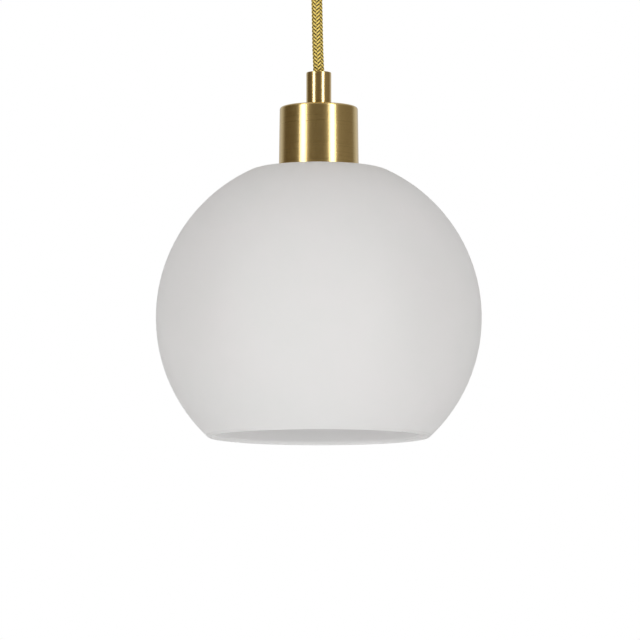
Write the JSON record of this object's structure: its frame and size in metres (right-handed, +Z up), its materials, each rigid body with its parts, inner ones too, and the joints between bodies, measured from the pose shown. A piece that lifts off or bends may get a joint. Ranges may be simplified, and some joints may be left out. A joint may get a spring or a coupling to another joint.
{
  "type": "pendant ceiling light",
  "caption": "Pendant light with an open-bottomed opal glass globe on a brushed brass cup, hung by a braided cord from a round canopy.",
  "frame": {"origin": "on the ceiling, at the centre of the ceiling bracket", "axes": "+Z up along the lamp's hanging axis, X along the bracket's two fixing slots"},
  "size_m": [0.2, 0.2, 0.3417],
  "materials": {
    "brushed_brass": "lacquered brushed brass, fine rings round the axis",
    "polished_brass": "plain turned brass",
    "zinc_steel": "zinc-plated pressed steel",
    "nickel": "nickel plate",
    "opal_glass": "acid-etched opal white glass, opaque to the eye",
    "braid": "braided rayon sleeve, old gold",
    "black_resin": "moulded black thermosetting resin",
    "white_nylon": "moulded white nylon",
    "porcelain": "glazed porcelain, weighed as glass",
    "silicone": "translucent silicone rubber",
    "core_brown": "brown core insulation",
    "core_blue": "blue core insulation",
    "core_earth": "green and yellow core insulation",
    "circuit_board": "green circuit board with black components",
    "aluminium_board": "white-faced aluminium board",
    "led_phosphor": "yellow phosphor under clear silicone",
    "diffuser": "frosted white diffuser"
  },
  "bodies": {
    "ceiling_fitting": {"ceiling_bracket": "zinc_steel", "canopy": "brushed_brass", "canopy_screws": "polished_brass", "canopy_grip": "brushed_brass", "canopy_grip_screw": "zinc_steel", "canopy_nipple": "zinc_steel", "canopy_washer": "zinc_steel", "canopy_nut": "zinc_steel", "cord_clamp": "white_nylon", "clamp_screw": "zinc_steel", "terminal_block": "white_nylon", "terminal_tubes": "polished_brass", "terminal_screws": "zinc_steel", "block_screw": "zinc_steel", "earth_screw": "polished_brass", "earth_lug": "polished_brass", "canopy_live_core": "core_brown", "canopy_neutral_core": "core_blue", "canopy_earth_core": "core_earth", "canopy_cord_end": "braid"},
    "flex": {"cord": "braid"},
    "lamp_body": {"lamp_grip": "brushed_brass", "lamp_grip_screw": "zinc_steel", "lamp_nipple": "zinc_steel", "cup": "brushed_brass", "earth_tag": "polished_brass", "cup_washer": "zinc_steel", "cup_nut": "zinc_steel", "holder_dome": "black_resin", "holder_insert": "porcelain", "holder_terminals": "polished_brass", "holder_screws": "zinc_steel", "holder_rivets": "polished_brass", "holder_skirt": "black_resin", "screw_shell": "polished_brass", "centre_contact": "polished_brass", "lamp_live_core": "core_brown", "lamp_neutral_core": "core_blue", "lamp_earth_core": "core_earth", "lamp_cord_end": "braid"},
    "shade": {"glass_globe": "opal_glass", "cup_gasket": "silicone", "ring_gasket": "silicone"},
    "ring": {"shade_ring": "black_resin"},
    "tip": {"bulb_tip": "nickel"},
    "bulb": {"bulb_insulator": "black_resin", "bulb_cap": "nickel", "bulb_housing": "white_nylon", "bulb_driver": "circuit_board", "bulb_led_board": "aluminium_board", "bulb_leds": "led_phosphor", "bulb_globe": "diffuser"}
  },
  "joints": [
    {"name": "cord_swing", "type": "hinge", "parent": "ceiling_fitting", "child": "flex", "pos_m": [0, 0, -0.052], "axis": [0, 1, 0], "range_deg": [-15, 15]},
    {"name": "lamp_tilt", "type": "hinge", "parent": "flex", "child": "lamp_body", "pos_m": [0, 0, -0.116], "axis": [1, 0, 0], "range_deg": [-15, 15]},
    {"name": "shade_drop", "type": "slide", "parent": "lamp_body", "child": "shade", "axis": [0, 0, -1], "range_m": [0, 0.01001]},
    {"name": "ring_turn", "type": "hinge", "parent": "shade", "child": "ring", "pos_m": [0, 0, -0.18], "axis": [0, 0, -1], "range_deg": [0, 1440]},
    {"name": "bulb_drop", "type": "slide", "parent": "lamp_body", "child": "tip", "axis": [0, 0, -1], "range_m": [0, 0.0236]},
    {"name": "bulb_turn", "type": "hinge", "parent": "tip", "child": "bulb", "pos_m": [0, 0, -0.18], "axis": [0, 0, -1], "range_deg": [0, 2340]}
  ],
  "couplings": [
    {"joint": "shade_drop", "follows": "ring_turn", "m_per_rad": 0.00039789},
    {"joint": "bulb_drop", "follows": "bulb_turn", "m_per_rad": 0.00057757}
  ]
}
